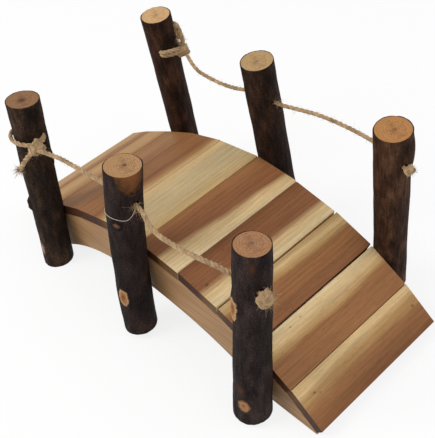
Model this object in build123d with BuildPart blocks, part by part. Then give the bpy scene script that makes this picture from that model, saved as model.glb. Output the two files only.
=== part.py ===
"""Small handmade wooden footbridge: an arched deck of crosswise boards on two sawn
stringers, six round twig posts with their bark on, and two slack handrails of twine.

Millimetres. +X runs along the bridge, +Y across it to the far rail, +Z up.
The origin is on the ground, below the middle of the bridge.
"""
from build123d import *
from math import atan2, cos, hypot, radians, sin, tan
import os

# deck
DECK_WIDTH = 100.0          # length of a board, across the bridge
BOARD_THICKNESS = 7.0
CROWN_HEIGHT = 64.1         # top of the deck at its highest joint, above the ground
END_HEIGHT = 7.5            # top of the deck at its right end, above the ground
# each board from the crown outwards: its width along the arch and its slope in degrees
RIGHT_BOARDS = ((33.6, 5.6), (32.2, 13.3), (29.6, 22.6), (30.5, 32.1), (28.4, 40.1))
LEFT_BOARDS = ((36.0, 6.9), (32.0, 15.4), (30.5, 22.4), (29.0, 25.4), (25.0, 28.9))
# from the right end to the left end: the open width of each joint at the top face, and
# how far each board's ends run past the stringers
JOINT_GAPS = (0.0, 0.3, 1.2, 1.2, 0.4, 0.5, 0.25, 0.35, 0.25, 0.25, 0.0)
NEAR_OVERHANGS = (0.3, 0.6, 0.2, 0.5, 0.9, 0.4, 0.6, 0.3, 0.5, 0.4)
FAR_OVERHANGS = (0.5, 0.3, 0.6, 0.2, 0.5, 0.3, 0.6, 0.4, 0.3, 0.5)
JOINT_CLEARANCE = 0.05      # between two boards where they meet at the bottom
BOARD_ROUNDING = 0.7

# stringers
STRINGER_THICKNESS = 12.0
ARCH_SPAN = 193.0           # along the ground, between the two feet of a stringer
ARCH_RISE = 24.5            # height of the sawn arch above the ground
ARCH_OFFSET = 3.0           # the arch's middle, along X from the origin
# the saw's line from the left foot to the right foot, in parts of the span and the rise
ARCH_LINE = ((0.0, 0.0), (0.11, 0.48), (0.25, 0.86), (0.5, 1.0), (0.75, 0.77), (0.88, 0.46),
             (1.0, 0.0))

# posts: side of the deck, place along X at the deck, lean along X and lean in over the
# deck in degrees, bow along X at half height, heights of foot and top, and the diameters
# at the foot, at half height and at the top
POST_BITE = 0.5             # how deep a post is flattened where it bears on the deck
SEAT_CLEARANCE = 0.05
POSTS = {
    "post_near_left": (-1, -90.4, 0.5, 5.2, 0.0, 0.0, 128.4, 20.4, 20.8, 21.2),
    "post_near_mid": (-1, 7.0, 3.1, 5.2, -3.6, 5.5, 130.4, 21.4, 21.2, 21.8),
    "post_near_right": (-1, 101.5, 1.6, 5.2, 0.0, 4.5, 130.2, 22.4, 20.8, 19.2),
    "post_far_left": (1, -84.8, 0.7, 4.2, 0.0, 0.0, 137.3, 19.0, 19.0, 19.6),
    "post_far_mid": (1, 6.6, -0.5, 5.2, 0.0, 5.0, 136.0, 21.6, 21.0, 20.4),
    "post_far_right": (1, 100.1, 3.0, 5.2, 0.0, 4.0, 133.6, 21.6, 21.2, 21.4),
}

# twine
TWINE_DIAMETER = 2.8
TWINE_HOLE_DIAMETER = 4.0
# drilled holes: height, distance off the post's middle, and bearing from +X in degrees
HOLES = {
    "post_near_mid": (108.0, 0.0, 0.0),
    "post_near_right": (107.2, -3.6, 0.0),
    "post_far_mid": (109.5, 0.0, 0.0),
    "post_far_right": (113.6, 0.0, -18.0),
}
# the turn of twine round each left post: its height, and the bearing of its knot
WRAPS = {"post_near_left": (102.9, -28.0), "post_far_left": (110.8, 32.0)}
KNOT_DIAMETER = 9.2
KNOT_FLAT = 3.8             # from a knot's middle to the face where the rail enters it
TWINE_CLEARANCE = 0.1       # between the twine and the bark

# the rails' routes from the left knot to the right knot, and the short ends
NEAR_ROUTE = ((-55.2, -57.4, 105.2), (-38.2, -57, 106.1), (-21.2, -56.6, 107.6),
              (-7.1, -56.2, 108.1), (8.9, -56.1, 108.1), (22.8, -56.4, 107.3),
              (28.3, -58.2, 102.2), (37.7, -59.8, 100.2), (53.7, -59.8, 101.5),
              (71.8, -59, 104), (87.8, -57.7, 106.7), (104.9, -57.5, 107.2))
FAR_ROUTE = ((-59.2, 57, 103.9), (-44.2, 56, 103), (-27.2, 55.9, 103.5), (-13.2, 55.9, 106.6),
             (-6.1, 55.85, 109.1), (5.9, 55.85, 109.6), (18.9, 55.9, 109.1), (29.9, 58.6, 109.2),
             (45.9, 61.6, 110.1), (63.9, 61.8, 110.7), (80, 59.6, 112.4), (92, 57.2, 113.5),
             (104.5, 53.3, 113.65))
NEAR_TAIL = ((-80.6, -64.5, 97.2), (-84.8, -67.6, 91.8), (-90.1, -68.9, 85.4))
FAR_TAIL = ((-74.4, 61, 121.6), (-75.2, 61, 130.6))


def deck_joints():
    """Places (x, z) of the deck's top joints, from the right end to the left end."""
    right, left = [(0.0, 0.0)], [(0.0, 0.0)]
    for side, boards, way in ((right, RIGHT_BOARDS, 1), (left, LEFT_BOARDS, -1)):
        for width, slope in boards:
            x, z = side[-1]
            side.append((x + way * width * cos(radians(slope)), z - width * sin(radians(slope))))
    joints = right[::-1] + left[1:]
    middle = (joints[0][0] + joints[-1][0]) / 2
    steepness = (CROWN_HEIGHT - END_HEIGHT) / -joints[0][1]
    return [(x - middle, CROWN_HEIGHT + z * steepness) for x, z in joints]


def lower_joints(joints):
    """The same joints at the boards' undersides, each on the line that halves its angle."""
    tilts = [atan2(z0 - z1, x0 - x1) for (x0, z0), (x1, z1) in zip(joints, joints[1:])]
    lower = []
    for (x, z), before, after in zip(joints, tilts[:1] + tilts, tilts + tilts[-1:]):
        tilt = (before + after) / 2
        depth = BOARD_THICKNESS / cos((after - before) / 2)
        lower.append((x + depth * sin(tilt), z - depth * cos(tilt)))
    return lower


JOINTS = deck_joints()
LOWER_JOINTS = lower_joints(JOINTS)


def deck_height(x):
    """Height of the deck's top above the ground at a place along X."""
    for (x0, z0), (x1, z1) in zip(JOINTS, JOINTS[1:]):
        if x1 <= x <= x0:
            return z0 + (z1 - z0) * (x0 - x) / (x0 - x1)
    return min(z for _, z in JOINTS)


def highest_deck(x, reach):
    """The highest point of the deck's top within a reach along X."""
    inside = [z for joint_x, z in JOINTS if abs(joint_x - x) < reach]
    return max(inside + [deck_height(x - reach), deck_height(x + reach)])


def along(start, end, distance):
    """The point at a distance from start towards end, in the X-Z plane."""
    length = hypot(end[0] - start[0], end[1] - start[1])
    return (start[0] + (end[0] - start[0]) * distance / length,
            start[1] + (end[1] - start[1]) * distance / length)


def deck_board(index):
    """One board: flat, its sides running to the joints at its underside."""
    top_right, top_left = JOINTS[index], JOINTS[index + 1]
    low_right, low_left = LOWER_JOINTS[index], LOWER_JOINTS[index + 1]
    near = -DECK_WIDTH / 2 - NEAR_OVERHANGS[index]
    far = DECK_WIDTH / 2 + FAR_OVERHANGS[index]
    with BuildPart() as board:
        with BuildSketch(Plane.XZ.offset(-far)):
            with BuildLine():
                Polyline(
                    along(top_right, top_left, JOINT_GAPS[index] / 2),
                    along(top_left, top_right, JOINT_GAPS[index + 1] / 2),
                    along(low_left, low_right, JOINT_CLEARANCE / 2),
                    along(low_right, low_left, JOINT_CLEARANCE / 2),
                    close=True,
                )
            make_face()
        extrude(amount=far - near)
        long_edges = board.edges().filter_by(Axis.Y).sort_by(
            lambda edge: edge.center().Z - deck_height(edge.center().X))[-2:]
        fillet(long_edges, BOARD_ROUNDING)
    return board


def stringer(side):
    """A side plank sawn to the deck's arch above and to a flatter arch below."""
    outer = side * DECK_WIDTH / 2
    with BuildPart() as plank:
        with BuildSketch(Plane.XZ.offset(-max(outer, outer - side * STRINGER_THICKNESS))):
            with BuildLine():
                Polyline(*LOWER_JOINTS)
                right_tip = (LOWER_JOINTS[0][0], 0.0)
                left_tip = (LOWER_JOINTS[-1][0], 0.0)
                arch = [(ARCH_OFFSET + (part - 0.5) * ARCH_SPAN, rise * ARCH_RISE)
                        for part, rise in ARCH_LINE]
                Line(LOWER_JOINTS[0], right_tip)
                Line(right_tip, arch[-1])
                Spline(*arch[::-1])
                Line(arch[0], left_tip)
                Line(left_tip, LOWER_JOINTS[-1])
            make_face()
        extrude(amount=STRINGER_THICKNESS)
    return plank


def post_axis(name):
    """A post's point at deck height and its direction, one unit of height long."""
    side, x, lean, lean_in = POSTS[name][:4]
    seat_height = deck_height(x)
    radius = post_radius(name, seat_height)
    seat = Vector(x, side * (DECK_WIDTH / 2 + radius - POST_BITE), seat_height)
    return seat, Vector(tan(radians(lean)), -side * tan(radians(lean_in)), 1)


def post_part(name, z):
    """How far up a post a height is, from 0 at its foot to 1 at its top."""
    foot, top = POSTS[name][5:7]
    return (z - foot) / (top - foot)


def post_radius(name, z):
    """A post's radius at a height, between its foot, middle and top."""
    foot, middle, top = POSTS[name][7:]
    part = post_part(name, z)
    if part < 0.5:
        return (foot + (middle - foot) * part * 2) / 2
    return (middle + (top - middle) * (part * 2 - 1)) / 2


def post_point(name, z):
    """The middle of a post at a height, on its bowed line."""
    seat, direction = post_axis(name)
    part = post_part(name, z)
    bow = POSTS[name][4] * 4 * part * (1 - part)
    return seat + direction * (z - seat.Z) + Vector(bow, 0, 0)


def deck_edge(side, x, reach):
    """The outermost board end that a post meets within its reach along X."""
    overhangs = NEAR_OVERHANGS if side < 0 else FAR_OVERHANGS
    met = [overhang for overhang, (right, _), (left, _) in zip(overhangs, JOINTS, JOINTS[1:])
           if left < x + reach and right > x - reach]
    return DECK_WIDTH / 2 + max(met)


def post(name):
    """A twig post, sawn flat at its foot, flattened at the deck and drilled for the twine."""
    side, foot, top = POSTS[name][0], POSTS[name][5], POSTS[name][6]
    seat, direction = post_axis(name)
    foot_run = 4.0
    with BuildPart() as twig:
        for part in (0, 0.25, 0.5, 0.75, 1):
            z = foot + (top - foot) * part - (foot_run if part == 0 else 0)
            with BuildSketch(Plane(origin=post_point(name, z), z_dir=direction)):
                Circle(post_radius(name, max(z, foot)))
        loft()
        split(bisect_by=Plane.XY.offset(foot), keep=Keep.TOP)
        x = post_point(name, seat.Z).X
        reach = post_radius(name, seat.Z)
        seat_top = highest_deck(x, reach) + SEAT_CLEARANCE
        seat_face = deck_edge(side, x, reach) + SEAT_CLEARANCE
        with BuildSketch(Plane.XY):
            with Locations((x, side * (seat_face - reach / 2))):
                Rectangle(3 * reach, reach)
        extrude(amount=seat_top, mode=Mode.SUBTRACT)
        if name in HOLES:
            middle, bearing = hole(name)
            with BuildSketch(Plane(origin=middle, z_dir=bearing)):
                Circle(TWINE_HOLE_DIAMETER / 2)
            extrude(amount=2 * reach, both=True, mode=Mode.SUBTRACT)
    return twig


def heading(degrees):
    """The level direction at a bearing from +X."""
    return Vector(cos(radians(degrees)), sin(radians(degrees)), 0)


def hole(name):
    """The middle of a post's drilled hole, and the level direction that it runs in."""
    height, offset, bearing = HOLES[name]
    return post_point(name, height) + heading(bearing + 90) * offset, heading(bearing)


def bend_radii(points):
    """The largest tangent arc that fits at each inner point of a route."""
    radii = []
    for before, corner, after in zip(points, points[1:], points[2:]):
        run_in, run_out = Vector(*corner) - Vector(*before), Vector(*after) - Vector(*corner)
        half_turn = radians(run_in.get_angle(run_out) / 2)
        radii.append(0.45 * min(run_in.length, run_out.length) / tan(half_turn))
    return radii


def twine_along(points):
    """A length of twine that follows straight runs joined by tangent arcs."""
    with BuildPart() as cord:
        with BuildLine():
            route = FilletPolyline(*points, radius=bend_radii(points))
        with BuildSketch(Plane(origin=points[0], z_dir=route % 0)):
            Circle(TWINE_DIAMETER / 2)
        sweep(path=route)
    length = route.length
    section = 3.14159265 * TWINE_DIAMETER ** 2 / 4
    print(f"twine length {length:.1f} mm, smallest bend {min(bend_radii(points)):.1f} mm, "
          f"volume against section times length {cord.part.volume / (section * length):.4f}")
    return cord


def left_knot_centre(name):
    """The knot's middle, beside the turn of twine round the post."""
    z, bearing = WRAPS[name]
    reach = post_radius(name, z) + KNOT_DIAMETER / 2 + TWINE_CLEARANCE
    return post_point(name, z) + heading(bearing) * reach


def right_knot_centre(name):
    """The knot's middle, just outside the drilled hole."""
    middle, bearing = hole(name)
    from_axis = post_radius(name, middle.Z) + KNOT_DIAMETER / 2 + TWINE_CLEARANCE
    return middle + bearing * (from_axis ** 2 - HOLES[name][1] ** 2) ** 0.5


def rail_ends(left_post, right_post, route):
    """A rail's whole route, from the face of its left knot to the face of its right knot."""
    left = left_knot_centre(left_post)
    right = right_knot_centre(right_post)
    start = left + (Vector(*route[0]) - left).normalized() * KNOT_FLAT
    end = right - (right - Vector(*route[-1])).normalized() * KNOT_FLAT
    return [tuple(start), *route, tuple(end)]


def knot_face(centre, toward):
    """The plane at which the rail meets a knot, looking away from the knot."""
    direction = (Vector(*toward) - centre).normalized()
    return Plane(origin=centre + direction * KNOT_FLAT, z_dir=direction)


def left_knot(name, route, tail):
    """The turn of twine round a left post, the knot beside it and its short end."""
    centre = left_knot_centre(name)
    axis = post_axis(name)[1]
    with BuildPart() as knot:
        z = WRAPS[name][0]
        ring = post_radius(name, z) + TWINE_DIAMETER / 2 + TWINE_CLEARANCE
        turn = Plane(origin=post_point(name, z), x_dir=axis.cross(Vector(1, 0, 0)), z_dir=axis)
        with BuildSketch(Plane(origin=turn.origin, x_dir=turn.x_dir, z_dir=turn.y_dir)):
            with Locations((ring, 0)):
                Circle(TWINE_DIAMETER / 2)
        revolve(axis=Axis(turn.origin, turn.z_dir))
        with Locations(Plane(origin=centre, z_dir=knot_face(centre, route[0]).z_dir)):
            Sphere(KNOT_DIAMETER / 2)
        points = [tuple(centre), *tail]
        with BuildLine():
            short_end = FilletPolyline(*points, radius=bend_radii(points))
        with BuildSketch(Plane(origin=points[0], z_dir=short_end % 0)):
            Circle(TWINE_DIAMETER / 2)
        sweep(path=short_end)
        split(bisect_by=knot_face(centre, route[0]), keep=Keep.BOTTOM)
    return knot


def right_knot(name, route):
    """The stopper knot at a rail's right end."""
    centre = right_knot_centre(name)
    with BuildPart() as knot:
        with Locations(Plane(origin=centre, z_dir=knot_face(centre, route[-1]).z_dir)):
            Sphere(KNOT_DIAMETER / 2)
        split(bisect_by=knot_face(centre, route[-1]), keep=Keep.BOTTOM)
    return knot


def save(built, name):
    """Label a finished piece and write it as a STEP file."""
    built.part.label = name
    export_step(built.part, f"parts/{name}.step")


os.makedirs("parts", exist_ok=True)

for number in range(len(JOINTS) - 1):
    save(deck_board(number), f"deck_board_{number + 1}")

save(stringer(-1), "stringer_near")
save(stringer(1), "stringer_far")

for name in POSTS:
    save(post(name), name)

save(twine_along(rail_ends("post_near_left", "post_near_right", NEAR_ROUTE)), "rail_twine_near")
save(twine_along(rail_ends("post_far_left", "post_far_right", FAR_ROUTE)), "rail_twine_far")
save(left_knot("post_near_left", NEAR_ROUTE, NEAR_TAIL), "knot_near_left")
save(left_knot("post_far_left", FAR_ROUTE, FAR_TAIL), "knot_far_left")
save(right_knot("post_near_right", NEAR_ROUTE), "knot_near_right")
save(right_knot("post_far_right", FAR_ROUTE), "knot_far_right")
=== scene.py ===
# Handmade wooden footbridge with twig posts and twine rails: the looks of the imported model
import math
import random

import bmesh
import bpy
from mathutils import Matrix, Vector, noise


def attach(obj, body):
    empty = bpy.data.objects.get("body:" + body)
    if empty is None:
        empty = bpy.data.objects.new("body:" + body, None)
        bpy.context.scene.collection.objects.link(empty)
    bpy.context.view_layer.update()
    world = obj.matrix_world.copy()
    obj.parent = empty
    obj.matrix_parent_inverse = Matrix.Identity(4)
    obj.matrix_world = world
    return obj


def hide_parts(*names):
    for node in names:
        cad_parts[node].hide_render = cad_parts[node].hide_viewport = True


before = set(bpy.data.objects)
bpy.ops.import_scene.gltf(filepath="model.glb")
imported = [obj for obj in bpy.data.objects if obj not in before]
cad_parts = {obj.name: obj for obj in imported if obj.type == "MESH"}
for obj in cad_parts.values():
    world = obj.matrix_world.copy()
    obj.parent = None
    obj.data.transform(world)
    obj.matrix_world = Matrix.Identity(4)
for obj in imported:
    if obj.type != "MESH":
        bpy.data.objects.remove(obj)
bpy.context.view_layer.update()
mm = 0.001
print("frame loaded:", len(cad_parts), "nodes")


# Helpers
def colour(hexValue):
    # sRGB hex to the linear colour that the nodes take
    parts = [int(hexValue[i:i + 2], 16) / 255 for i in (1, 3, 5)]
    return tuple(c / 12.92 if c <= 0.04045 else ((c + 0.055) / 1.055) ** 2.4 for c in parts) + (1,)


multiply = {"operation": "MULTIPLY"}
multiplyAdd = {"operation": "MULTIPLY_ADD"}
intoPlace = {"vector_type": "TEXTURE"}
mixColours = {"data_type": "RGBA"}


def addNode(tree, kind, settings=None, inputs=None):
    # one node with its settings and its values; a socket, or a node's first output, is linked;
    # MapRange takes 0 from the range 1 to 2 to the range 3 to 4, and Mix mixes 6 and 7 by 0
    node = tree.nodes.new("ShaderNode" + kind)
    for name, value in (settings or {}).items():
        setattr(node, name, value)
    for socket, value in (inputs or {}).items():
        if isinstance(value, bpy.types.Node):
            value = value.outputs[0]
        if isinstance(value, bpy.types.NodeSocket):
            tree.links.new(value, node.inputs[socket])
        else:
            node.inputs[socket].default_value = value
    return node


def setStops(ramp, stops):
    # stops of a colour ramp: place and hex colour
    elements = ramp.color_ramp.elements
    while len(elements) < len(stops):
        elements.new(1)
    for element, (place, hexValue) in zip(elements, stops):
        element.position = place
        element.color = colour(hexValue)
    return ramp


def newMaterial(name):
    material = bpy.data.materials.new(name)
    material.use_nodes = True
    material.node_tree.nodes.clear()
    return material, material.node_tree


def drawPatterns(tree, vector, patterns):
    # noise for each pattern: its waves per unit of the vector in x, y and z, and its settings
    drawn = {}
    for name, (waves, settings) in patterns.items():
        stretched = addNode(tree, "VectorMath", multiply, {0: vector, 1: waves})
        drawn[name] = addNode(tree, "TexNoise", inputs={"Vector": stretched, "Scale": 1, **settings})
    return drawn


def finishMaterial(material, inputs):
    surface = addNode(material.node_tree, "BsdfPrincipled", inputs=inputs)
    addNode(material.node_tree, "OutputMaterial", inputs={"Surface": surface})
    return material


def newMesh(name, bm):
    mesh = bpy.data.meshes.new(name)
    bm.to_mesh(mesh)
    bm.free()
    return mesh


def newObject(name, data):
    made = bpy.data.objects.new(name, data)
    bpy.context.scene.collection.objects.link(made)
    return made


def newPiece(name, mesh, materials):
    piece = newObject(name, mesh)
    for material in materials:
        mesh.materials.append(material)
    mesh.shade_smooth()
    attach(piece, "root")
    return piece


# Camera
cameraSettings = {
    "place": (0.3028, -0.2230, 0.3952),     # metres
    "heading": 53.20,       # degrees to the left of +Y
    "tilt": 46.17,          # degrees up from straight down
    "roll": -9.74,
    "lens": 66.8,           # mm
    "sensor": 36,
    "shift": (0.0174, 0.0242),
}

cameraData = bpy.data.cameras.new("camera")
cameraData.sensor_fit = "HORIZONTAL"
cameraData.sensor_width = cameraSettings["sensor"]
cameraData.lens = cameraSettings["lens"]
cameraData.shift_x, cameraData.shift_y = cameraSettings["shift"]
cameraData.clip_start = 0.01
camera = newObject("camera", cameraData)
camera.matrix_world = (
    Matrix.Translation(cameraSettings["place"])
    @ Matrix.Rotation(math.radians(cameraSettings["heading"]), 4, "Z")
    @ Matrix.Rotation(math.radians(cameraSettings["tilt"]), 4, "X")
    @ Matrix.Rotation(math.radians(cameraSettings["roll"]), 4, "Z")
)
bpy.context.scene.camera = camera


# Twine
twine = {
    "diameter": 2.8,
    "plies": 3,
    "plyRadius": 0.78,      # one ply, in mm
    "plyOffset": 0.70,      # from the twine's middle to a ply's middle
    "lay": 10.5,            # mm of twine for one full turn of a ply
    "step": 0.7,            # mm from place to place along a ply
    "hairs": 1.5,           # loose fibres on each mm of a rail
    "hairLength": (1.2, 4.2),
    "hairRadius": 0.055,
    "hairTaper": (1, 1, 0.8, 0.35),     # from root to tip
    "tuftTaper": (1, 1, 0.9, 0.7, 0.3),
    "tailSize": 1.15,       # a tail's plies have opened a little
    "tones": ((0.3, "#765b3e"), (0.45, "#9d805d"), (0.58, "#b99b74"), (0.72, "#d1b78f")),
}
twinePatterns = {
    # waves per metre; single fibres are 0.05 mm, and drawn at 0.35 mm so that they show
    "fibres": ((2900, 2900, 2900), {"Detail": 3}),
    "patches": ((240, 240, 240), {"Detail": 2}),        # 4 mm long
}


# Spun jute, three plies, dry and hairy: a matt pale straw colour with browner fibres in it
def juteMaterial():
    material, tree = newMaterial("spun_jute_twine")
    drawn = drawPatterns(tree, addNode(tree, "TexCoord").outputs["Object"], twinePatterns)
    fibreShare = addNode(tree, "Math", multiply, {0: drawn["fibres"], 1: 0.4})
    mix = addNode(tree, "Math", multiplyAdd, {0: drawn["patches"], 1: 0.6, 2: fibreShare})
    shade = setStops(addNode(tree, "ValToRGB", inputs={0: mix}), twine["tones"])
    bump = addNode(tree, "Bump", inputs={
        "Height": drawn["fibres"], "Strength": 0.6, "Distance": 0.15 * mm})
    return finishMaterial(material, {
        "Base Color": shade, "Normal": bump, "Roughness": 0.88, "IOR": 1.53,
        "Specular IOR Level": 0.25, "Sheen Weight": 0.15})


jute = juteMaterial()

nearRoute = (
    (-72.7, -60.63, 103.3), (-55.2, -57.4, 105.2), (-38.2, -57, 106.1), (-21.2, -56.6, 107.6),
    (-7.1, -56.2, 108.1), (8.9, -56.1, 108.1), (22.8, -56.4, 107.3), (28.3, -58.2, 102.2),
    (37.7, -59.8, 100.2), (53.7, -59.8, 101.5), (71.8, -59, 104), (87.8, -57.7, 106.7),
    (104.9, -57.5, 107.2), (113.8, -57.51, 107.2))
farRoute = (
    (-68.61, 60.48, 109.06), (-59.2, 57, 103.9), (-44.2, 56, 103), (-27.2, 55.9, 103.5),
    (-13.2, 55.9, 106.6), (-6.1, 55.85, 109.1), (5.9, 55.85, 109.6), (18.9, 55.9, 109.1),
    (29.9, 58.6, 109.2), (45.9, 61.6, 110.1), (63.9, 61.8, 110.7), (80, 59.6, 112.4),
    (92, 57.2, 113.5), (104.5, 53.3, 113.65), (115.07, 49.77, 113.61))
rails = {
    # length in metres, and how thick the plies are beside those of the near rail
    "near": {"route": nearRoute, "length": 0.1895, "size": 1.0, "seed": 3},
    "far": {"route": farRoute, "length": 0.1883, "size": 0.88, "seed": 8},
}


def meshOf(curve):
    # the mesh that a curve shows as; the curve itself goes
    holder = bpy.data.objects.new(curve.name, curve)
    mesh = bpy.data.meshes.new_from_object(holder)
    bpy.data.objects.remove(holder)
    bpy.data.curves.remove(curve)
    return mesh


def smoothLine(points):
    # the points read from a NURBS spline that has the route as its control points
    data = bpy.data.curves.new("route", "CURVE")
    data.dimensions = "3D"
    data.resolution_u = 14
    spline = data.splines.new("NURBS")
    spline.points.add(len(points) - 1)
    for point, place in zip(spline.points, points):
        point.co = (*[v * mm for v in place], 1)
    spline.order_u = 3
    spline.use_endpoint_u = True
    mesh = meshOf(data)
    places = [vertex.co.copy() for vertex in mesh.vertices]
    bpy.data.meshes.remove(mesh)
    return places


def framesAlong(line, step):
    # evenly spaced places on a line, each with its direction and two directions across it
    spaced, walked = [line[0].copy()], 0.0
    for start, end in zip(line, line[1:]):
        run = (end - start).length
        while run > 0 and walked + run >= step:
            start = start.lerp(end, (step - walked) / run)
            spaced.append(start.copy())
            run, walked = (end - start).length, 0.0
        walked += run
    if (spaced[-1] - line[-1]).length > step * 0.3:
        spaced.append(line[-1].copy())
    frames, across = [], None
    for k, place in enumerate(spaced):
        direction = (spaced[min(k + 1, len(spaced) - 1)] - spaced[max(k - 1, 0)]).normalized()
        if across is None:
            across = direction.orthogonal().normalized()
        across = (across - direction * across.dot(direction)).normalized()
        frames.append((place, direction, across, direction.cross(across)))
    return frames


def plyLines(line, size=1.0):
    # the helix that each ply follows round the twine's middle
    step = twine["step"] * mm
    frames = framesAlong(line, step)
    reach = twine["plyOffset"] * mm * size
    plies = []
    for ply in range(twine["plies"]):
        path = []
        for k, (place, _, across, up) in enumerate(frames):
            turn = 2 * math.pi * (k * step / (twine["lay"] * mm) + ply / twine["plies"])
            path.append(place + (across * math.cos(turn) + up * math.sin(turn)) * reach)
        plies.append((path, [twine["plyRadius"] * mm * size] * len(path)))
    return plies


def tubes(name, lines, roundness):
    # round tubes along lines of places, each place with its own radius, as one mesh
    data = bpy.data.curves.new(name, "CURVE")
    data.dimensions = "3D"
    data.bevel_depth = 1
    data.bevel_resolution = roundness
    data.use_fill_caps = True
    for path, radii in lines:
        spline = data.splines.new("POLY")
        spline.points.add(len(path) - 1)
        for point, place, radius in zip(spline.points, path, radii):
            point.co = (*place, 1)
            point.radius = radius
    mesh = meshOf(data)
    mesh.name = name
    bm = bmesh.new()
    bm.from_mesh(mesh)
    bmesh.ops.remove_doubles(bm, verts=bm.verts, dist=1e-7)
    bmesh.ops.recalc_face_normals(bm, faces=bm.faces)
    bm.to_mesh(mesh)
    bm.free()
    return mesh


def strayHairs(line, chance, lengths, draw):
    # loose fibres that stand off the twine, mostly along it
    hairs = []
    radius = twine["diameter"] * 0.42 * mm      # just inside the plies' outline
    for place, direction, across, up in framesAlong(line, 1 * mm):
        for _ in range(int(chance) + (chance % 1 > draw.random())):
            turn = draw.uniform(0, 2 * math.pi)
            out = across * math.cos(turn) + up * math.sin(turn)
            way = (direction * draw.choice((-1, 1)) * draw.uniform(0.5, 1.4)
                   + out * draw.uniform(0.25, 0.9)).normalized()
            length = draw.uniform(*lengths) * mm
            start = place + direction * draw.uniform(-0.5, 0.5) * mm + out * radius * 0.8
            curl = Vector([draw.uniform(-1, 1) for _ in range(3)]) * 0.45
            path = [start + way * length * t + curl * length * t * t for t in (0, 0.3, 0.65, 1)]
            thick = twine["hairRadius"] * mm * draw.uniform(0.7, 1.3)
            hairs.append((path, [thick * share for share in twine["hairTaper"]]))
    return hairs


def tuft(place, way, count, lengths, spread, draw):
    # an opened end: fibres that fan out from one place
    fibres = []
    side = way.orthogonal().normalized()
    other = way.cross(side)
    for _ in range(count):
        turn = draw.uniform(0, 2 * math.pi)
        lean = spread * draw.random() ** 0.7
        out = side * math.cos(turn) + other * math.sin(turn)
        run = (way + out * lean).normalized()
        length = draw.uniform(*lengths) * mm
        start = place + out * draw.uniform(0, 0.8) * mm
        curl = Vector([draw.uniform(-1, 1) for _ in range(3)]) * 0.5
        path = [start + run * length * t + curl * length * t * t for t in (0, 0.25, 0.5, 0.75, 1)]
        thick = twine["hairRadius"] * mm * draw.uniform(0.9, 1.9)
        fibres.append((path, [thick * share for share in twine["tuftTaper"]]))
    return fibres


knots = {
    # middle of the knot, a place on the rail that leaves it, and the loops' size; at a left post
    # also the post's middle, two strands round it by bearing, height and distance, and the tail
    "knot_near_left": {
        "middle": (-75.1, -59.3, 103.4), "toward": (-55.2, -57.4, 105.2), "size": 1.5,
        "post": (-89.86, -54.17),
        "strands": (
            ((198, 105.0, 8.5), (202, 105.2, 11.4), (218, 105.4, 11.9), (233, 105.4, 12.1),
             (260, 105.2, 12.2), (295, 104.9, 12.4), (318, 104.2, 12.2), (336, 103.2, 12.6),
             (352, 104.0, 12.2), (367, 105.0, 12.0), (380, 105.4, 11.5), (385, 105.2, 8.5)),
            ((340, 104.6, 12.8), (352, 104.4, 12.6), (366, 103.6, 12.0), (376, 103.2, 11.3),
             (381, 103.0, 8.5))),
        "tail": ((-75.1, -59.3, 103.4), (-80.6, -64.5, 96.8), (-84.8, -67.6, 90.8),
                 (-90.1, -68.9, 83.6))},
    "knot_far_left": {
        "middle": (-71.9, 60.8, 110.7), "toward": (-59.2, 57, 103.9), "size": 1.3,
        "post": (-83.97, 54.03),
        "strands": (
            ((-52, 114.6, 8.5), (-48, 114.8, 11.3), (-34, 115.0, 11.7), (-14, 114.8, 11.6),
             (6, 114.0, 11.5), (22, 112.6, 11.8), (36, 111.2, 12.6), (52, 110.8, 11.8),
             (80, 110.9, 11.2), (110, 111.2, 11.1), (128, 111.4, 10.9), (134, 111.4, 8.5)),
            ((-50, 112.6, 8.5), (-45, 112.6, 11.3), (-30, 112.4, 11.7), (-10, 112.0, 11.7),
             (10, 111.2, 11.9), (28, 110.2, 12.8))),
        "tail": ((-71.9, 60.8, 110.7), (-72.0, 61.7, 117.5), (-73.4, 61.5, 124.0),
                 (-75.0, 60.4, 129.6), (-76.3, 59.7, 130.2), (-75.6, 60.0, 125.5),
                 (-74.2, 61.0, 119.5))},
    "knot_near_right": {
        "middle": (116.6, -58.0, 106.7), "toward": (104.9, -57.5, 107.2), "size": 1.35},
    "knot_far_right": {
        "middle": (117.4, 50.4, 113.3), "toward": (104.5, 53.3, 113.65), "size": 0.72},
}
knotShape = {
    "points": 18,           # round the three loops
    "loop": 1.05,           # mm, at a size of 1
    "core": 2.9,            # mm, radius at a size of 1
    "swell": 0.16,          # how uneven the core is
    "rough": 0.05,
    # loose fibres on each mm, and their length
    "loopHairs": (3.5, (0.8, 2.6)),
    "strandHairs": (1.0, (1.0, 3.0)),
    "tailHairs": (2.5, (1.2, 4)),
    # opened ends: how many fibres, their length, and how far they spread
    "tailEnd": (220, (2.0, 5.2), 1.2),
    "cutEnd": (150, (2.3, 4.6), 3.4),       # length at a size of 1
}


def knotLoops(values):
    # an overhand knot pulled tight: three crossing loops round its middle
    forward = (Vector(values["toward"]) - Vector(values["middle"])).normalized()
    side = forward.orthogonal().normalized()
    turned = Matrix((side, forward.cross(side), forward)).transposed()
    points = []
    for k in range(knotShape["points"] + 1):
        t = 2 * math.pi * k / knotShape["points"]
        loop = Vector((math.sin(t) + 2 * math.sin(2 * t), math.cos(t) - 2 * math.cos(2 * t),
                       -1.5 * math.sin(3 * t)))
        points.append(Vector(values["middle"]) + turned @ loop * (knotShape["loop"] * values["size"]))
    return smoothLine(points)


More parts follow.
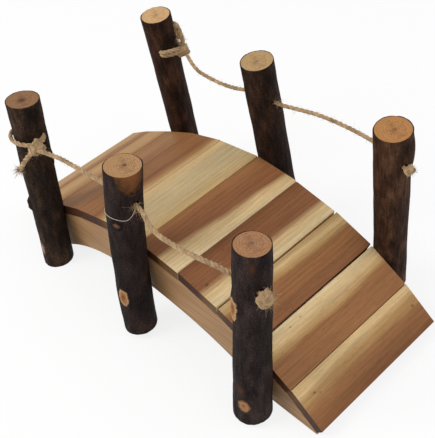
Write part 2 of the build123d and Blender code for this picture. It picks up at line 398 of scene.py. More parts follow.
def knotCore(name, values, seed):
    # the middle of a knot, rough with fibres, that fills what the loops leave open
    bm = bmesh.new()
    bmesh.ops.create_icosphere(bm, subdivisions=5, radius=1)
    for vertex in bm.verts:
        out = vertex.co.copy()
        lump = noise.noise(out * 2.1 + Vector((seed * 9, 0, 0)))
        swell = 1 + knotShape["swell"] * lump + knotShape["rough"] * noise.noise(out * 9)
        vertex.co = (Vector(values["middle"]) + out * knotShape["core"] * values["size"] * swell) * mm
    return newMesh(name + "_core", bm)


def strandLine(middle, strand):
    # a strand that holds the post, out of one side of it and back in
    x, y = middle
    return smoothLine([(x + math.cos(math.radians(bearing)) * reach,
                        y + math.sin(math.radians(bearing)) * reach, height)
                       for bearing, height, reach in strand])


def twinePiece(name, lines, roundness):
    return newPiece(name, tubes(name, lines, roundness), [jute])


def buildRails():
    strung = {}
    for name, values in rails.items():
        line = smoothLine(values["route"])
        rail = twinePiece("rail_" + name, plyLines(line, values["size"]), 2)
        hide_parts("rail_twine_" + name)
        hairs = strayHairs(line, twine["hairs"], twine["hairLength"], random.Random(values["seed"]))
        twinePiece("rail_fibres_" + name, hairs, 0)
        strung[name] = (rail, line)
    return strung


def buildKnots():
    # the pieces of each knot: its loops with the strands and the tail, its core, its fibres
    made = {}
    for seed, (name, values) in enumerate(knots.items()):
        draw = random.Random(20 + seed)
        middle = Vector(values["middle"])
        loops = knotLoops(values)
        lines = plyLines(loops)
        if "tail" in values:
            strands = [strandLine(values["post"], strand) for strand in values["strands"]]
            for strand in strands:
                lines += plyLines(strand)
            tail = smoothLine(values["tail"])
            lines += plyLines(tail, twine["tailSize"])
            fibres = strayHairs(strands[0], *knotShape["strandHairs"], draw)
            fibres += strayHairs(tail, *knotShape["tailHairs"], draw)
            way = (tail[-1] - tail[-8]).normalized()
            fibres += tuft(tail[-1] - way * 2.5 * mm, way, *knotShape["tailEnd"], draw)
        else:
            way = (middle - Vector(values["toward"])).normalized()
            count, lengths, spread = knotShape["cutEnd"]
            lengths = [length * values["size"] for length in lengths]
            fibres = tuft(middle * mm, way, count, lengths, spread, draw)
        knot = twinePiece(name + "_twine", lines, 1)
        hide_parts(name)
        core = newPiece(name + "_core", knotCore(name, values, seed), [jute])
        fibres += strayHairs(loops, *knotShape["loopHairs"], draw)
        made[name] = [knot, core, twinePiece(name + "_fibres", fibres, 0)]
    return made


def buildTwine():
    strung = buildRails()
    made = buildKnots()
    for name, (rail, line) in strung.items():
        length = sum((b - a).length for a, b in zip(line, line[1:]))
        print("rail", name, "length", round(length / mm, 1), "mm")


frayedExits = (
    # where the fibres leave a rail, the way they point, how many, and their length
    ((18.6, -56.2, 107.6), (0.7, -0.4, 0.2), 46, (2.0, 6.0)),
    ((17.2, 55.9, 109.3), (0.6, -0.2, 0.8), 26, (1.8, 4.5)),
    ((93.2, -57.6, 106.9), (-0.8, -0.3, 0.2), 10, (1.0, 2.5)),
)
frayedSpread = 1.3
pulledThread = {
    "tone": "#cfc4b4",
    "radius": 0.15,
    "route": ((18.4, -57.4, 106.4), (17.8, -60.3, 101.4), (15.8, -64.1, 99.6), (10.4, -67.8, 101.1),
              (5.3, -68.5, 101.7), (0.2, -66.7, 101.2), (-3.4, -62.6, 99.6)),
}


# One fibre of the jute, pulled out and bleached: paler than the rest
def threadMaterial():
    material, _ = newMaterial("bleached_jute_fibre")
    return finishMaterial(material, {"Base Color": colour(pulledThread["tone"]), "Roughness": 0.8})


def buildFrayedExits():
    # fibres that stand up where a rail leaves its hole, and one long pulled thread
    draw = random.Random(51)
    fibres = []
    for place, way, count, lengths in frayedExits:
        fibres += tuft(Vector(place) * mm, Vector(way).normalized(), count, lengths, frayedSpread, draw)
    twinePiece("rail_frayed_exits", fibres, 0)
    thread = smoothLine(pulledThread["route"])
    radii = [pulledThread["radius"] * mm] * len(thread)
    newPiece("rail_pulled_thread", tubes("rail_pulled_thread", [(thread, radii)], 0),
             [threadMaterial()])


buildTwine()
buildFrayedExits()
print("twine rails, knots and fibres built")


# Boards
# the deck's joints seen from the side, from right to left: x and z in mm
joints = ((141.27, 7.5), (119.54, 25.81), (93.71, 42.02), (66.38, 53.41), (35.04, 60.82),
          (1.6, 64.1), (-34.14, 59.77), (-64.99, 51.27), (-93.18, 39.64), (-119.38, 27.19),
          (-141.27, 15.1))
woods = {
    "heart": "#97673f", "lightHeart": "#a47647", "deepHeart": "#7b4d2d", "redHeart": "#885837",
    "tan": "#b68f5c", "paleTan": "#bd9c68", "cream": "#cfaf7e", "paleCream": "#dac093",
    "grey": "#bda67d",
}
# stops across each board from its left edge, the slant of the colour's edge in mm over
# the board's length, how strongly the rings show, and dark specks: across, along, size
boards = {
    1: {"stops": ((0, "cream"), (0.17, "cream"), (0.3, "tan"), (0.55, "heart"), (1, "deepHeart")),
        "slant": -3.0, "rings": 0.4, "specks": ((12.3, 45, 1.0), (9.5, -40, 0.9), (11.5, -37, 0.6))},
    2: {"stops": ((0, "paleCream"), (0.26, "cream"), (0.4, "tan"), (0.5, "heart"), (1, "heart")),
        "slant": -2.0, "rings": 0.5, "specks": ((4.1, -17, 0.6), (4.8, -26, 0.6))},
    3: {"stops": ((0, "tan"), (0.13, "cream"), (0.27, "tan"), (0.36, "heart"), (1, "redHeart")),
        "slant": 4.0, "rings": 1.0},
    4: {"stops": ((0, "deepHeart"), (0.25, "redHeart"), (0.55, "redHeart"), (0.7, "cream"),
                  (0.9, "paleCream")),
        "slant": 2.0, "rings": 1.0, "specks": ((17.2, -44, 1.1), (6.0, -20, 0.5))},
    5: {"stops": ((0, "heart"), (0.3, "redHeart"), (0.55, "redHeart"), (0.69, "cream"),
                  (1, "paleCream")),
        "slant": 7.0, "rings": 0.8},
    6: {"stops": ((0, "cream"), (0.1, "cream"), (0.24, "grey"), (0.6, "grey"), (1, "paleTan")),
        "slant": 1.5, "rings": 0.5},
    7: {"stops": ((0, "heart"), (0.45, "heart"), (0.6, "redHeart"), (0.8, "lightHeart"), (1, "cream")),
        "slant": -1.0, "rings": 0.4},
    8: {"stops": ((0, "heart"), (0.4, "lightHeart"), (0.7, "heart"), (0.9, "heart"), (1, "heart")),
        "slant": 2.0, "rings": 0.3},
    9: {"stops": ((0, "heart"), (0.2, "tan"), (0.6, "tan"), (0.85, "lightHeart"), (1, "heart")),
        "slant": 3.0, "rings": 0.4},
    10: {"stops": ((0, "tan"), (0.3, "tan"), (0.55, "tan"), (0.75, "heart"), (1, "heart")),
         "slant": -3.0, "rings": 0.4},
}


woodPatterns = {
    # waves per mm across the board, along it and up from it
    "bends": ((0.035, 0.018, 0.05), {"Detail": 2}),     # slow bends of the grain
    "streaks": ((0.62, 0.02, 0.5), {"Detail": 4, "Roughness": 0.6}),    # 1.6 mm wide
    "fibres": ((2.4, 0.09, 2.0), {"Detail": 3}),        # 0.4 mm wide
    # pores are 0.2 mm wide and 4 mm long; drawn 0.4 mm wide so that they show
    "pores": ((2.6, 0.28, 2.6), {"Detail": 1}),
}
woodShades = {
    # two levels of a pattern, and how light the wood is at each
    "streaks": (0.3, 0.7, 0.80, 1.16),
    "fibres": (0.3, 0.7, 0.90, 1.09),
    "rings": (-1.0, 1.0, 0.06, 0.04),       # darker and lighter by this at full strength
    "pores": (0.62, 0.72, 1.0, 0.78),
}
wood = {
    "boardLength": 100,     # mm
    "bend": 6.0,            # mm that the grain wanders across the board
    "ringGap": 2.6,         # mm between growth rings where the board cuts them
    "ringBend": 9.0,        # mm that the rings wander
    "speckLength": 1.4,     # beside its width
    "endGrain": "#7a644c",
}


# Planed acacia, sanded and left bare: brown heartwood beside cream sapwood, a close grain of
# short dark pores along the board, a dull surface, and darker sawn end grain
def boardMaterial(number, values):
    material, tree = newMaterial("planed_acacia_board_%d" % number)
    (rightX, rightZ), (leftX, leftZ) = joints[number - 1], joints[number]
    width = math.hypot(rightX - leftX, rightZ - leftZ)
    coords = addNode(tree, "TexCoord")
    # millimetres across the board from its left edge, along it, and up from its top
    space = addNode(tree, "Mapping", intoPlace, {
        "Vector": coords.outputs["Object"], "Location": (leftX * mm, 0, leftZ * mm),
        "Rotation": (0, math.atan2(leftZ - rightZ, rightX - leftX), 0), "Scale": (mm, mm, mm)})
    across = addNode(tree, "SeparateXYZ", inputs={0: space})
    # each board is cut from another place in the wood
    seeded = addNode(tree, "VectorMath", {"operation": "ADD"}, {
        0: space, 1: (number * 61.0, number * 37.0, number * 13.0)})
    drawn = drawPatterns(tree, seeded, woodPatterns)
    # the bands of colour, bent with the grain and slanting along the board
    bent = addNode(tree, "Math", multiplyAdd, {
        0: drawn["bends"], 1: wood["bend"], 2: -wood["bend"] / 2})
    slanted = addNode(tree, "Math", multiplyAdd, {
        0: across.outputs["Y"], 1: -values["slant"] / wood["boardLength"], 2: bent})
    edge = addNode(tree, "Math", {"operation": "ADD"}, {0: across.outputs["X"], 1: slanted})
    part = addNode(tree, "Math", {"operation": "DIVIDE"}, {0: edge, 1: width})
    base = setStops(addNode(tree, "ValToRGB", inputs={0: part}),
                    [(place, woods[name]) for place, name in values["stops"]])
    # growth rings, drawn out along the board
    ringPlace = addNode(tree, "Math", multiplyAdd, {
        0: drawn["bends"], 1: wood["ringBend"], 2: across.outputs["X"]})
    ringTurn = addNode(tree, "Math", multiply, {0: ringPlace, 1: 2 * math.pi / wood["ringGap"]})
    drawn["rings"] = addNode(tree, "Math", {"operation": "SINE"}, {0: ringTurn})
    grain = 1.0
    for name, (low, high, lowShade, highShade) in woodShades.items():
        if name == "rings":
            lowShade, highShade = 1 - lowShade * values["rings"], 1 + highShade * values["rings"]
        shade = addNode(tree, "MapRange", inputs={
            0: drawn[name], 1: low, 2: high, 3: lowShade, 4: highShade})
        grain = addNode(tree, "Math", multiply, {0: grain, 1: shade})
    grained = addNode(tree, "VectorMath", {"operation": "SCALE"}, {0: base, 3: grain})
    # small dark knots and dents
    for acrossAt, alongAt, size in values.get("specks", ()):
        spot = addNode(tree, "Mapping", intoPlace, {
            "Vector": space, "Location": (acrossAt, alongAt, 0),
            "Scale": (size, size * wood["speckLength"], 9)})
        reach = addNode(tree, "VectorMath", {"operation": "LENGTH"}, {0: spot})
        dent = addNode(tree, "MapRange", inputs={0: reach.outputs[1], 1: 0.4, 2: 1.1, 3: 0.5, 4: 1.0})
        grained = addNode(tree, "VectorMath", {"operation": "SCALE"}, {0: grained, 3: dent})
    # end grain where the face looks along the board
    facing = addNode(tree, "SeparateXYZ", inputs={0: coords.outputs["Normal"]})
    along = addNode(tree, "Math", {"operation": "ABSOLUTE"}, {0: facing.outputs["Y"]})
    endOn = addNode(tree, "MapRange", inputs={0: along, 1: 0.6, 2: 0.8})
    darker = addNode(tree, "Mix", {"data_type": "RGBA", "blend_type": "MULTIPLY"}, {
        0: 1.0, 6: grained, 7: colour(wood["endGrain"])})
    shown = addNode(tree, "Mix", mixColours, {0: endOn, 6: grained, 7: darker.outputs[2]})
    bump = addNode(tree, "Bump", inputs={"Height": grain, "Strength": 0.35, "Distance": 0.25 * mm})
    rough = addNode(tree, "MapRange", inputs={0: drawn["fibres"], 1: 0.3, 2: 0.7, 3: 0.62, 4: 0.50})
    return finishMaterial(material, {
        "Base Color": shown.outputs[2], "Normal": bump, "Roughness": rough,
        "IOR": 1.5, "Specular IOR Level": 0.2})


stringer = {
    "tones": ((0.3, "#815d3a"), (0.45, "#967047"), (0.6, "#a67f53"), (0.75, "#b28e61")),
    "ringGap": 3.4,         # mm between the growth rings' stripes
    "ringBend": 22.0,       # mm that the stripes wander up and down
    "ringShade": 0.025,
}
stringerPatterns = {
    # waves per mm along the bridge, across it and up
    "bends": ((0.008, 0.03, 0.035), {"Detail": 2}),
    "streaks": ((0.02, 0.6, 0.6), {"Detail": 4}),       # 1.7 mm wide
}


# Sawn acacia plank, sanded: light tan, grain along the bridge, ring stripes running through
def stringerMaterial():
    material, tree = newMaterial("sawn_acacia_stringer")
    space = addNode(tree, "Mapping", intoPlace, {
        "Vector": addNode(tree, "TexCoord").outputs["Object"], "Location": (0.01, 0.02, 0.003),
        "Scale": (mm, mm, mm)})
    drawn = drawPatterns(tree, space, stringerPatterns)
    parts = addNode(tree, "SeparateXYZ", inputs={0: space})
    ringPlace = addNode(tree, "Math", multiplyAdd, {
        0: drawn["bends"], 1: stringer["ringBend"], 2: parts.outputs["Z"]})
    ringTurn = addNode(tree, "Math", multiply, {0: ringPlace, 1: 2 * math.pi / stringer["ringGap"]})
    rings = addNode(tree, "Math", {"operation": "SINE"}, {0: ringTurn})
    mixed = addNode(tree, "Math", multiplyAdd, {
        0: rings, 1: stringer["ringShade"], 2: drawn["streaks"]})
    shade = setStops(addNode(tree, "ValToRGB", inputs={0: mixed}), stringer["tones"])
    bump = addNode(tree, "Bump", inputs={"Height": mixed, "Strength": 0.4, "Distance": 0.25 * mm})
    return finishMaterial(material, {
        "Base Color": shade, "Normal": bump, "Roughness": 0.6, "IOR": 1.5})


def dressDeck():
    sawn = stringerMaterial()
    dressed = {"stringer_near": sawn, "stringer_far": sawn}
    for number, values in boards.items():
        dressed["deck_board_%d" % number] = boardMaterial(number, values)
    for name, material in dressed.items():
        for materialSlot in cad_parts[name].material_slots:
            materialSlot.material = material


dressDeck()
print("deck and stringers dressed")


# Posts
# in mm: foot and top of the axis, its bow along the bridge, radii at foot, middle and top, the
# face and height of the seat at the deck, and the hole's place and bearing; tones of the bark
# from dark to pale, how far furrows show, the pith's place and size, and the sawn top's tones;
# a scar's bearing, height, half width, half height, rise and kind
posts = {
    "post_near_left": {
        "foot": (-90.76, -63.54, 0), "top": (-89.64, -51.85, 128.4),
        "radii": (10.2, 10.4, 10.6), "seat": (50.5, 45.05),
        "tones": ("#0d0806", "#251a13", "#3f2d20", "#5d4a39"), "streaks": 0.25,
        "pith": (0.4, -0.6), "pithSize": 1.5, "topTone": "dull",
        # the second mark here is a painted highlight: a pale pinkish-grey patch low on the bark, barely
        # raised
        "scars": ((-116, 51, 2.2, 3.8, 2.3, "stub"), (-95, 15, 3.4, 8.0, 0.1, "paintedHighlight"),
                  (60, 84, 3.0, 4.0, 0.8, "healed"))},
    "post_near_mid": {
        "foot": (3.86, -65.39, 5.5), "top": (10.62, -54.03, 130.4), "bow": -3.6,
        "radii": (10.7, 10.6, 10.9), "seat": (50.9, 64.15), "hole": (7.29, -56.06, 108.0, 0),
        "tones": ("#0c0807", "#211816", "#332622", "#4a3a33"), "streaks": 0.2,
        "pith": (0.5, 0.8), "topTone": "tan",
        "scars": ((-14, 132, 10.5, 18.0, -0.5, "bare"), (-74, 37, 3.8, 8.0, 0.9, "healed"),
                  (-65, 95.5, 4.6, 4.4, 0.5, "eye"))},
    "post_near_right": {
        "foot": (100.59, -63.25, 4.5), "top": (104.1, -51.81, 130.2),
        "radii": (11.2, 10.4, 9.6), "seat": (50.6, 43.3), "hole": (103.46, -57.51, 107.2, 0),
        "tones": ("#0e0908", "#241b19", "#382b27", "#4d403b"), "streaks": 0.2,
        "pith": (-0.8, 0.2), "topTone": "warm",
        "scars": ((-107, 93, 4.0, 9.0, 1.4, "healed"), (-71, 21, 4.2, 5.6, 0.9, "stub"),
                  (-84, 33, 3.4, 6.0, 0.2, "smear"), (-47, 124, 2.6, 5.5, 0.1, "smear"))},
    "post_far_left": {
        "foot": (-85.33, 62.16, 0), "top": (-83.65, 52.08, 137.3),
        "radii": (9.5, 9.5, 9.8), "seat": (50.4, 47.05),
        "tones": ("#100805", "#2b1a11", "#452b1d", "#6b5240"), "streaks": 0.6,
        "pith": (0.3, 0.3), "topTone": "pale",
        "scars": ((-15, 58, 3.0, 6.0, 0.4, "smear"), (110, 40, 3.0, 5.0, 0.8, "healed"))},
    "post_far_mid": {
        "foot": (7.11, 65.37, 5.0), "top": (5.97, 53.44, 136.0),
        "radii": (10.8, 10.5, 10.2), "seat": (50.5, 64.15), "hole": (6.2, 55.86, 109.5, 0),
        "tones": ("#0d0704", "#23160f", "#39261a", "#574234"), "streaks": 0.45,
        "pith": (0.2, -0.5), "topTone": "buff",
        "scars": ((-95, 104, 3.0, 9.0, 0.2, "smear"), (80, 34, 4.0, 5.5, 0.8, "healed"))},
    "post_far_right": {
        "foot": (98.32, 63.29, 4.0), "top": (105.11, 51.5, 133.6),
        "radii": (10.4, 10.0, 10.4), "seat": (50.6, 43.85), "hole": (104.06, 53.32, 113.6, -18),
        "tones": ("#140b06", "#382317", "#563a27", "#7b5f48"), "streaks": 1.0,
        "pith": (0.6, 0.2), "topTone": "orange",
        "scars": ((13, 121, 4.0, 9.0, 1.6, "smear"), (100, 66, 3.4, 5.0, 0.8, "healed"))},
}
bark = {
    "segments": 84,
    "rings": 116,
    "spare": 4,             # mm of twig below the foot, which is then cut level
    "lumps": 0.5,           # mm, slow bumps of the twig
    "ridges": 0.16,         # mm, ridges along it
    "cracks": 0.16,         # mm, depth of the fissures
    "barkEdge": 0.6,        # mm of bark that shows round a sawn top
    "topRings": (0.12, 0.2, 0.2, 0.15),     # rings of faces in it, as shares of its radius
    "sawMarks": 0.12,       # mm
    "chips": 0.35,          # mm, along the edge of a sawn top
    "chipWidth": 1.6,       # mm
    "scarSpread": 1.5,      # how far a scar swells the bark, beside its size
    "scarHollow": 0.6,      # how far a stub or a healed scar is hollow
    "toneStops": (0.38, 0.49, 0.58, 0.70),
    "furrowTone": "#2a1d20",
}
bumpWaves = {
    # mm across and along the twig from one bump to the next
    "lumps": (11, 24), "ridges": (2.6, 13), "cracks": (3.4, 16),
}
barkPatterns = {
    # waves per mm across the twig, in both directions, and along it
    "furrows": ((0.72, 0.72, 0.08), {"Detail": 5, "Roughness": 0.6, "Distortion": 0.3}),
    "patches": ((0.16, 0.16, 0.06), {"Detail": 4}),
    "grit": ((1.3, 1.3, 1.3), {"Detail": 5}),
    "uneven": ((0.35, 0.35, 0.35), {"Detail": 2}),
}
scarTones = {
    # stops from the scar's middle to the bark
    "stub": ((0.0, "#6d4a33"), (0.25, "#9b6d48"), (0.55, "#a57850"), (0.8, "#7d5a3d"),
             (0.95, "#34261d")),
    "healed": ((0.0, "#6e4429"), (0.35, "#8d5c37"), (0.6, "#a3724a"), (0.8, "#b9946a"),
               (0.95, "#3b2c22")),
    "eye": ((0.0, "#7b5a40"), (0.3, "#553a29"), (0.5, "#120b08"), (0.8, "#1d1410")),
    # painted highlight: a pale pinkish-grey patch that fades out into the dark bark
    "paintedHighlight": ((0.0, "#a38d7d"), (0.4, "#927868"), (0.7, "#6b5244"), (0.9, "#443228"), (1.0, "#2b1f18")),
    "bare": ((0.0, "#81502f"), (0.45, "#74482b"), (0.75, "#5b3920"), (0.92, "#432a18"),
             (1.0, "#20150f")),
    "smear": ((0.0, "#4f3122"), (0.4, "#41281b"), (0.8, "#311e14"), (1.0, "#20150f")),
}
scarEdges = {
    # how ragged the edge is, how far that is taken back, and where it starts to fade
    "soft": (0.6, 0.65, 0.5),
    "sharp": (0.2, 0.45, 0.92),
}
topTones = {
    # four tones of the wood from dark to light, and the pith
    "dull": ("#68432e", "#87603f", "#956c4a", "#a98060", "#35201a"),
    "tan": ("#805a3a", "#a47d54", "#b38a60", "#c5a178", "#3e281c"),
    "warm": ("#7d5438", "#9a6e4a", "#a97c57", "#bf9773", "#6b504a"),
    "pale": ("#a57b4d", "#c49b69", "#d1ac7d", "#dfc097", "#8c7761"),
    "buff": ("#8c6a43", "#ac8a5d", "#ba976a", "#cbaf85", "#7c6f5d"),
    "orange": ("#8a5a31", "#a87442", "#b5824f", "#c79763", "#7b4d33"),
}


def postAxis(values):
    foot, top = Vector(values["foot"]), Vector(values["top"])
    return foot, top, (top - foot).normalized()


def partUp(values, height):
    # 0 at the foot and 1 at the top
    return (height - values["foot"][2]) / (values["top"][2] - values["foot"][2])


def bowAt(values, height):
    part = partUp(values, height)
    return Vector((values.get("bow", 0) * 4 * part * (1 - part), 0, 0))


def axisPoint(values, height):
    foot, top, _ = postAxis(values)
    return foot.lerp(top, partUp(values, height)) + bowAt(values, height)


def radiusAt(values, height):
    foot, middle, top = values["radii"]
    part = partUp(values, height)
    if part < 0.5:
        return foot + (middle - foot) * max(part, 0) * 2
    return middle + (top - middle) * (part * 2 - 1)


# Bark left on a dry twig: nearly black brown, rough and dull, with furrows along it 1.4 mm
# apart, pale cork in places, and healed scars where side twigs were cut
def barkMaterial(name, values):
    material, tree = newMaterial("dry_bark_" + name[5:])
    coords = addNode(tree, "TexCoord")
    foot, _, way = postAxis(values)
    tilt = Vector((0, 0, 1)).rotation_difference(way).to_euler()
    space = addNode(tree, "Mapping", intoPlace, {
        "Vector": coords.outputs["Object"], "Location": tuple(foot * mm), "Rotation": tuple(tilt),
        "Scale": (mm, mm, mm)})
    drawn = drawPatterns(tree, space, barkPatterns)
    # more grit or more furrows, as the post has it
    along = 0.6 * values["streaks"]
    gritty = addNode(tree, "Math", multiply, {0: drawn["grit"], 1: 1 - along})
    height = addNode(tree, "Math", multiplyAdd, {0: drawn["furrows"], 1: along, 2: gritty})
    halfHeight = addNode(tree, "Math", multiply, {0: height, 1: 0.5})
    toned = addNode(tree, "Math", multiplyAdd, {0: drawn["patches"], 1: 0.5, 2: halfHeight})
    shade = setStops(addNode(tree, "ValToRGB", inputs={0: toned}),
                     tuple(zip(bark["toneStops"], values["tones"])))
    furrowed = addNode(tree, "MapRange", inputs={0: drawn["furrows"], 1: 0.5, 2: 0.7, 3: 0.0, 4: 0.5})
    shown = addNode(tree, "Mix", mixColours, {
        0: furrowed, 6: shade, 7: colour(bark["furrowTone"])}).outputs[2]
    # scars, and the painted highlight on the near left post, drawn over the bark; the painted highlight
    # and the smears have soft edges
    for bearing, scarHeight, halfWide, halfHigh, _, kind in values["scars"]:
        ragged, back, fade = scarEdges["soft" if kind in ("paintedHighlight", "smear") else "sharp"]
        turn = math.radians(bearing)
        out = Vector((math.cos(turn), math.sin(turn), 0))
        centre = axisPoint(values, scarHeight) + out * radiusAt(values, scarHeight)
        local = addNode(tree, "Mapping", intoPlace, {
            "Vector": coords.outputs["Object"], "Location": tuple(centre * mm),
            "Rotation": (0, 0, turn),
            "Scale": (max(halfWide, 4) * mm, halfWide * mm, halfHigh * mm)})
        reach = addNode(tree, "VectorMath", {"operation": "LENGTH"}, {0: local})
        gritted = addNode(tree, "Math", multiplyAdd, {0: drawn["grit"], 1: ragged, 2: reach.outputs[1]})
        bent = addNode(tree, "Math", multiplyAdd, {0: drawn["uneven"], 1: 0.7, 2: gritted})
        moved = addNode(tree, "Math", {"operation": "SUBTRACT"}, {0: bent, 1: back})
        tone = setStops(addNode(tree, "ValToRGB", inputs={0: moved}), scarTones[kind])
        inside = addNode(tree, "MapRange", inputs={0: moved, 1: fade, 2: 1.04, 3: 1.0, 4: 0.0})
        shown = addNode(tree, "Mix", mixColours, {0: inside, 6: shown, 7: tone}).outputs[2]
    bump = addNode(tree, "Bump", inputs={"Height": height, "Strength": 0.7, "Distance": 0.7 * mm})
    rough = addNode(tree, "MapRange", inputs={0: drawn["furrows"], 1: 0.3, 2: 0.7, 3: 0.84, 4: 0.66})
    return finishMaterial(material, {
        "Base Color": shown, "Normal": bump, "Roughness": rough, "IOR": 1.45,
        "Specular IOR Level": 0.12})


sawnEnd = {
    "ringGap": 1.5,         # mm between growth rings
    "ringBend": 3.2,        # mm that they wander
    "ringShade": 0.05,
    "toneStops": (0.3, 0.45, 0.58, 0.72),
    "pith": (1.9, 3.4),     # mm from the pith's middle to where it starts and ends to fade
    "rim": (3.2, 0.9),      # mm in from the edge to where the darker rim starts and ends
}
sawnPatterns = {
    # waves per mm
    "wander": ((0.28, 0.28, 0.28), {"Detail": 2}),
    "fuzz": ((1.7, 1.7, 1.7), {"Detail": 5}),           # 0.6 mm wide
    "smudges": ((0.24, 0.24, 0.24), {"Detail": 4}),     # 4 mm across
}


# Sawn twig end: orange tan with fine rings round a dark pith, saw fuzz, a darker rim
def sawnEndMaterial(name, values):
    material, tree = newMaterial("sawn_twig_end_" + name[5:])
    tones = topTones[values["topTone"]]
    middle = Vector(values["top"]) + Vector((*values["pith"], 0))
    radius = values["radii"][2]
    # millimetres across the sawn face, and hardly any change down into it
    local = addNode(tree, "Mapping", intoPlace, {
        "Vector": addNode(tree, "TexCoord").outputs["Object"], "Location": tuple(middle * mm),
        "Scale": (mm, mm, 1000 * mm)})
    drawn = drawPatterns(tree, local, sawnPatterns)
    distance = addNode(tree, "VectorMath", {"operation": "LENGTH"}, {0: local}).outputs[1]
    wavy = addNode(tree, "Math", multiplyAdd, {0: drawn["wander"], 1: sawnEnd["ringBend"], 2: distance})
    ringTurn = addNode(tree, "Math", multiply, {0: wavy, 1: 2 * math.pi / sawnEnd["ringGap"]})
    rings = addNode(tree, "Math", {"operation": "SINE"}, {0: ringTurn})
    tone = addNode(tree, "Math", multiplyAdd, {0: rings, 1: sawnEnd["ringShade"], 2: drawn["fuzz"]})
    shown = setStops(addNode(tree, "ValToRGB", inputs={0: tone}),
                     tuple(zip(sawnEnd["toneStops"], tones)))
    # weathered smudges, strongest round the pith
    nearer = addNode(tree, "Math", multiplyAdd, {0: distance, 1: -0.022, 2: drawn["smudges"]})
    smudged = addNode(tree, "MapRange", inputs={0: nearer, 1: 0.34, 2: 0.6, 3: 0.0, 4: 0.7})
    pithStart, pithEnd = sawnEnd["pith"]
    pith = addNode(tree, "MapRange", inputs={
        0: wavy, 1: pithStart, 2: pithEnd * values.get("pithSize", 1), 3: 0.85, 4: 0.0})
    rimStart, rimEnd = sawnEnd["rim"]
    rim = addNode(tree, "MapRange", inputs={
        0: distance, 1: radius - rimStart, 2: radius - rimEnd, 3: 0.0, 4: 0.55})
    for share, tint in ((smudged, tones[0]), (pith, tones[4]), (rim, tones[1])):
        shown = addNode(tree, "Mix", mixColours, {0: share, 6: shown, 7: colour(tint)}).outputs[2]
    bump = addNode(tree, "Bump", inputs={"Height": tone, "Strength": 0.5, "Distance": 0.3 * mm})
    return finishMaterial(material, {
        "Base Color": shown, "Normal": bump, "Roughness": 0.75, "IOR": 1.5,
        "Specular IOR Level": 0.3})


def barkRise(values, place, bearing, height, seed):
    # how far the bark stands off the round twig, in mm
    shift = Vector((seed * 31.7, seed * 17.3, seed * 5.1))
    spots = {name: Vector((place.x / across, place.y / across, place.z / along))
             for name, (across, along) in bumpWaves.items()}
    rise = bark["lumps"] * noise.noise(spots["lumps"] + shift)
    rise += bark["ridges"] * noise.noise(spots["ridges"] + shift)
    rise -= bark["cracks"] * max(0.0, 1 - abs(noise.noise(spots["cracks"] - shift)) * 9)
    for scarBearing, scarHeight, halfWide, halfHigh, scarRise, kind in values["scars"]:
        turned = (bearing - math.radians(scarBearing) + math.pi) % (2 * math.pi) - math.pi
        reach = math.hypot(turned * radiusAt(values, height) / halfWide,
                           (height - scarHeight) / halfHigh)
        if reach < bark["scarSpread"]:
            swell = scarRise * max(0.0, 1 - (reach / bark["scarSpread"]) ** 2)
            if kind in ("stub", "healed"):
                swell -= 0.5 * scarRise * max(0.0, 1 - (reach / bark["scarHollow"]) ** 2)
            rise = rise * min(1.0, 0.35 + reach * 0.45) + swell
    return rise


def twigPost(name, values, seed):
    foot, top, way = postAxis(values)
    start = foot - way * bark["spare"]
    length = (top - start).length
    across = (Vector((1, 0, 0)) - way * way.x).normalized()
    up = way.cross(across)
    # a round tube of height 1, closed on top with rings of faces
    bm = bmesh.new()
    bmesh.ops.create_circle(bm, cap_ends=False, radius=1, segments=bark["segments"])
    loop = bm.edges[:]
    for _ in range(bark["rings"]):
        grown = bmesh.ops.extrude_edge_only(bm, edges=loop)["geom"]
        bmesh.ops.translate(bm, vec=(0, 0, 1 / bark["rings"]),
                            verts=[g for g in grown if isinstance(g, bmesh.types.BMVert)])
        loop = [g for g in grown if isinstance(g, bmesh.types.BMEdge) and g.is_boundary]
    cap = bmesh.ops.contextual_create(bm, geom=loop)["faces"]
    for step in (bark["barkEdge"] / 10, *bark["topRings"]):
        bmesh.ops.inset_region(bm, faces=cap, thickness=step, use_even_offset=True)
        for face in cap:
            face.material_index = 1
    bmesh.ops.poke(bm, faces=cap)
    # each place of the tube moved to where it is on the twig
    for vertex in bm.verts:
        local = vertex.co.copy()
        reach = math.hypot(local.x, local.y)
        bearing = math.atan2(local.y, local.x)
        middle = start + way * local.z * length
        out = (across * local.x + up * local.y) / max(reach, 1e-6)
        place = middle + bowAt(values, middle.z) + out * radiusAt(values, middle.z) * reach
        onBark = reach > 0.995
        if onBark:
            place += out * barkRise(values, place, bearing, middle.z, seed)
        if local.z > 0.999:
            # saw marks, and chips along the bark's edge
            chip = noise.noise(place / bark["chipWidth"] + Vector((seed, 0, 0)))
            place -= way * (bark["sawMarks"] + bark["chips"] * max(0.0, chip) if onBark
                            else bark["sawMarks"] * chip)
        vertex.co = place * mm
    # cut flat where it sits against the deck's side
    face, seatTop = values["seat"]
    side = math.copysign(1, foot.y)
    for vertex in bm.verts:
        if vertex.co.z < seatTop * mm and vertex.co.y * side < face * mm:
            vertex.co.y = side * face * mm
    cut = bmesh.ops.bisect_plane(bm, geom=bm.verts[:] + bm.edges[:] + bm.faces[:], dist=1e-7,
                                 plane_co=(0, 0, foot.z * mm), plane_no=(0, 0, 1), clear_inner=True)
    bmesh.ops.holes_fill(bm, edges=[g for g in cut["geom_cut"] if isinstance(g, bmesh.types.BMEdge)])
    bmesh.ops.remove_doubles(bm, verts=bm.verts, dist=1e-6)
    bmesh.ops.recalc_face_normals(bm, faces=bm.faces)
    return newMesh(name, bm)


twineHole = {
    "radius": 2,            # mm
    "segments": 24,
    "drillLength": 40,      # mm, longer than a post is thick
}


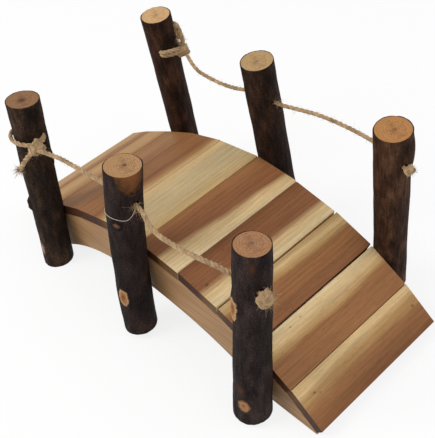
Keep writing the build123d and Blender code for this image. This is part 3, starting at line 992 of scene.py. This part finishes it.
def drill(mesh, values):
    # the hole that the rail runs through, cut with the CAD hole's place and size
    *place, bearing = values["hole"]
    bm = bmesh.new()
    radius = twineHole["radius"] * mm
    bmesh.ops.create_cone(bm, cap_ends=True, segments=twineHole["segments"], radius1=radius,
                          radius2=radius, depth=twineHole["drillLength"] * mm)
    bmesh.ops.transform(bm, verts=bm.verts, matrix=(
        Matrix.Translation(Vector(place) * mm)
        @ Matrix.Rotation(math.radians(bearing), 4, "Z") @ Matrix.Rotation(math.pi / 2, 4, "Y")))
    cutter = newObject("drill", newMesh("drill", bm))
    body = newObject("drilled", mesh)
    cut = body.modifiers.new("hole", "BOOLEAN")
    cut.operation, cut.solver, cut.object = "DIFFERENCE", "EXACT", cutter
    drilled = bpy.data.meshes.new_from_object(
        body.evaluated_get(bpy.context.evaluated_depsgraph_get()))
    for made in (cutter, body):
        bpy.data.objects.remove(made)
    return drilled


def buildPosts():
    for seed, (name, values) in enumerate(posts.items(), 1):
        mesh = twigPost(name, values, seed)
        if "hole" in values:
            mesh = drill(mesh, values)
        materials = [barkMaterial(name, values), sawnEndMaterial(name, values)]
        post = newPiece(name + "_twig", mesh, materials)
        for face in mesh.polygons:
            face.use_smooth = face.material_index == 0
        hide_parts(name)
        print(name, "built")


buildPosts()


# Floor and light
studio = {
    "halfFloor": 4,         # metres from the middle to an edge
    "floorHeight": -0.00005,
    "floorTone": "#f7f7f7",
    "whiteShare": 0.82,     # of the floor as the camera sees it; the rest shows the shadow
    "worldLight": 0.62,
    "aim": (0, 0, 0.05),
}
lamps = {
    "key": {"place": (-0.55, -0.95, 1.15), "size": 0.7, "power": 11},
    "fill": {"place": (0.9, 0.3, 1.0), "size": 1.0, "power": 4},
}


# Matt white paper, which the camera, gloss and glass see under a share of plain white
def paperMaterial():
    material, tree = newMaterial("white_paper_floor")
    paper = addNode(tree, "BsdfPrincipled", inputs={
        "Base Color": colour(studio["floorTone"]), "Roughness": 0.9})
    white = addNode(tree, "Emission", inputs={"Color": (1, 1, 1, 1), "Strength": 1.0})
    path = addNode(tree, "LightPath")
    seen = path.outputs["Is Camera Ray"]
    for ray in ("Is Glossy Ray", "Is Transmission Ray"):
        seen = addNode(tree, "Math", {"operation": "MAXIMUM"}, {0: seen, 1: path.outputs[ray]})
    amount = addNode(tree, "Math", multiply, {0: seen, 1: studio["whiteShare"]})
    mixed = addNode(tree, "MixShader", inputs={0: amount, 1: paper, 2: white})
    addNode(tree, "OutputMaterial", inputs={"Surface": mixed})
    return material


def makeFloor():
    bm = bmesh.new()
    bmesh.ops.create_grid(bm, x_segments=1, y_segments=1, size=studio["halfFloor"])
    bmesh.ops.translate(bm, vec=(0, 0, studio["floorHeight"]), verts=bm.verts)
    floor = newObject("studio_floor", newMesh("studio_floor", bm))
    floor.data.materials.append(paperMaterial())


def makeWorld():
    world = bpy.data.worlds.new("studio")
    bpy.context.scene.world = world
    world.use_nodes = True
    tree = world.node_tree
    tree.nodes.clear()
    path = addNode(tree, "LightPath")
    strength = addNode(tree, "MapRange", inputs={
        0: path.outputs["Is Camera Ray"], 3: studio["worldLight"], 4: 1.0})
    background = addNode(tree, "Background", inputs={"Color": (1, 1, 1, 1), "Strength": strength})
    addNode(tree, "OutputWorld", inputs={"Surface": background})


def makeLamps():
    for name, values in lamps.items():
        lamp = bpy.data.lights.new(name, "AREA")
        lamp.shape = "SQUARE"
        lamp.size = values["size"]
        lamp.energy = values["power"]
        way = Vector(studio["aim"]) - Vector(values["place"])
        turned = way.to_track_quat("-Z", "Y").to_matrix().to_4x4()
        newObject(name, lamp).matrix_world = Matrix.Translation(values["place"]) @ turned


makeFloor()
makeWorld()
makeLamps()
bpy.context.scene.view_settings.view_transform = "Standard"
print("studio ready")
